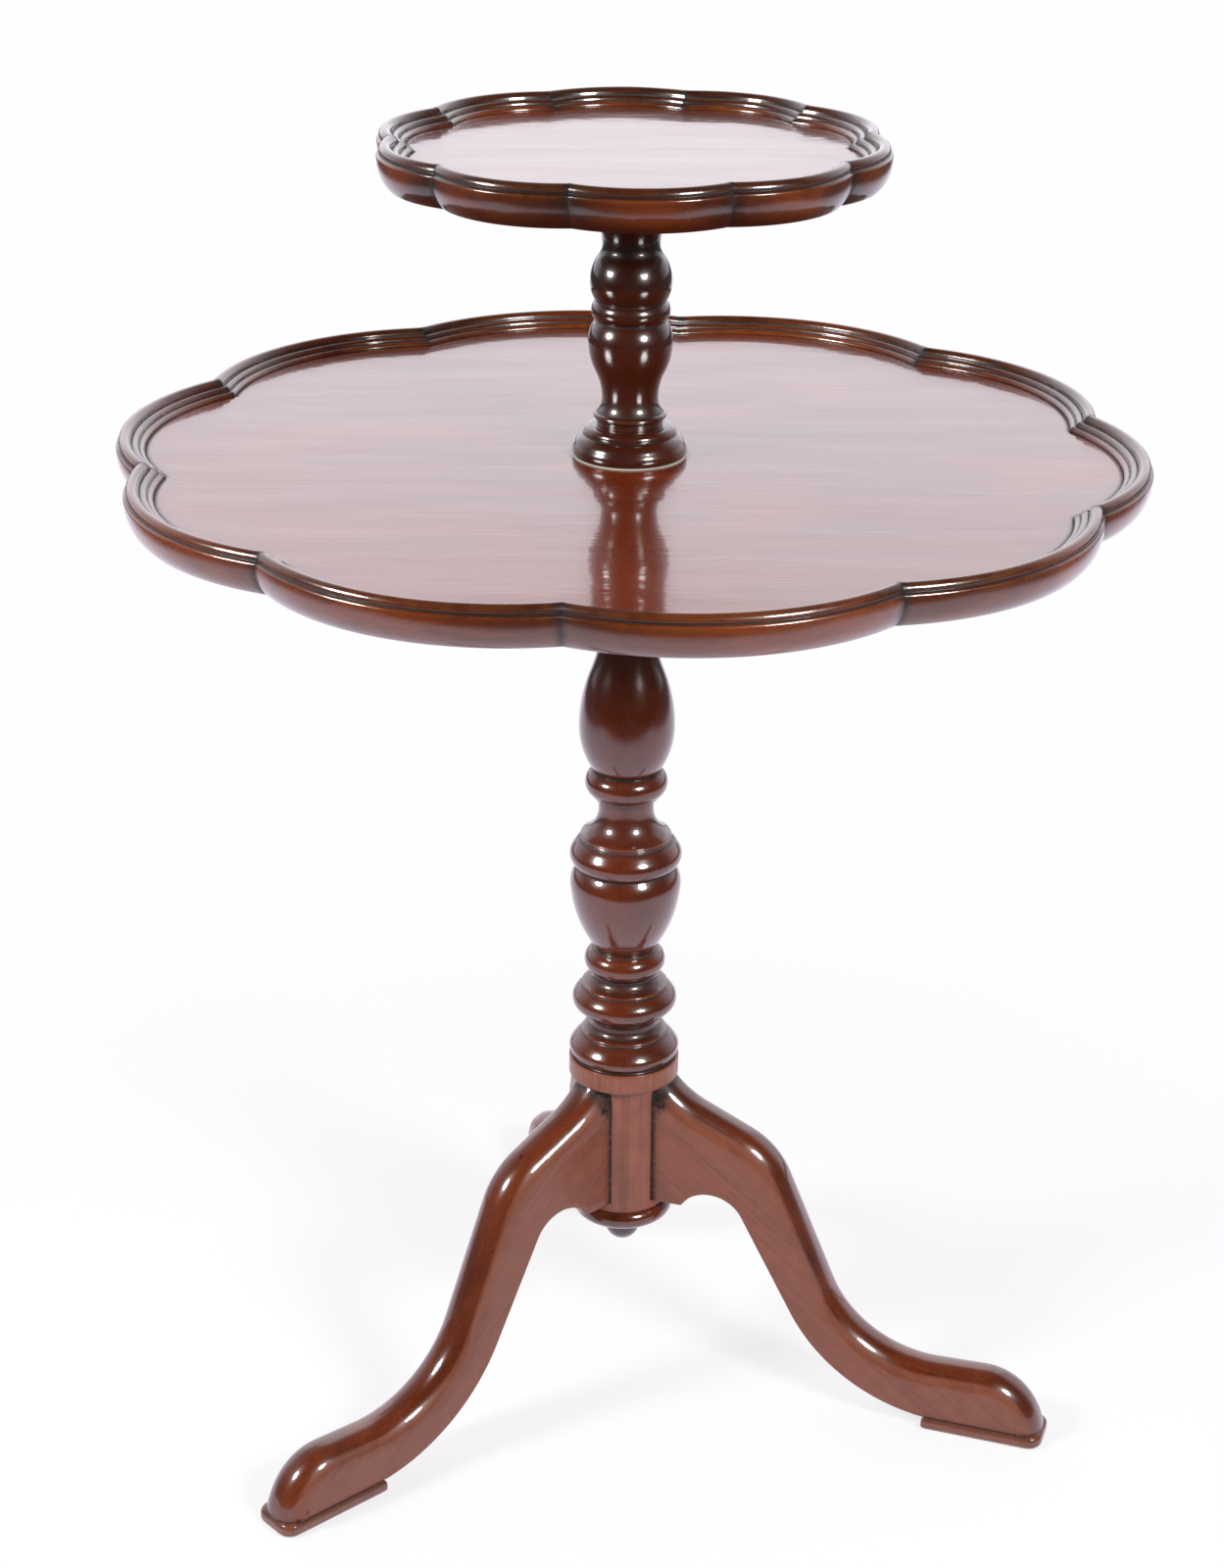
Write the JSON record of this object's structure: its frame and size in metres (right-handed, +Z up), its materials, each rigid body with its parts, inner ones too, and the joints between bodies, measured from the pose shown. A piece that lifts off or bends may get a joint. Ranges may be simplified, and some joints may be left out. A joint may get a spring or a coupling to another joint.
{
  "type": "tiered side table",
  "caption": "Two-tier tripod side table: scalloped trays with moulded rims that revolve on turned columns, on cabriole legs.",
  "frame": {"origin": "on the floor, on the axis of the columns, which is the centre of the three feet", "axes": "+Z up along the columns; the back leg points to +Y and the front is towards -Y"},
  "size_m": [0.6032, 0.6176, 0.8296],
  "materials": {
    "turned_mahogany": "dark red-brown mahogany, high-gloss French polish",
    "leg_mahogany": "red-brown mahogany, French polish, worn lighter along the arrises",
    "sole_mahogany": "dark mahogany, French polish",
    "tray_mahogany": "figured mahogany, high-gloss French polish",
    "rim_mahogany": "dark red-brown mahogany, high-gloss French polish, lighter along the edges",
    "under_mahogany": "plain mahogany, thin matt finish",
    "washer_leather": "natural leather",
    "felt": "pale worn felt"
  },
  "bodies": {
    "stand": {"lower_column": "turned_mahogany", "base_disc": "turned_mahogany", "drop_knob": "turned_mahogany", "upper_column_foot": "turned_mahogany", "upper_column": "turned_mahogany", "back_leg": "leg_mahogany", "back_sole": "sole_mahogany", "front_left_leg": "leg_mahogany", "front_left_sole": "sole_mahogany", "front_right_leg": "leg_mahogany", "front_right_sole": "sole_mahogany", "lower_bearing_washer": "washer_leather", "foot_felt": "felt", "upper_bearing_washer": "washer_leather"},
    "lower_tray": {"lower_tray_panel": "tray_mahogany", "lower_tray_rim": "rim_mahogany", "lower_tray_block": "under_mahogany"},
    "upper_tray": {"upper_tray_panel": "tray_mahogany", "upper_tray_rim": "rim_mahogany", "upper_tray_block": "under_mahogany"}
  },
  "joints": [
    {"name": "lower_tray_spin", "type": "hinge", "parent": "stand", "child": "lower_tray", "pos_m": [0, 0, 0.62], "axis": [0, 0, 1], "continuous": true},
    {"name": "upper_tray_spin", "type": "hinge", "parent": "stand", "child": "upper_tray", "pos_m": [0, 0, 0.8], "axis": [0, 0, 1], "continuous": true}
  ]
}
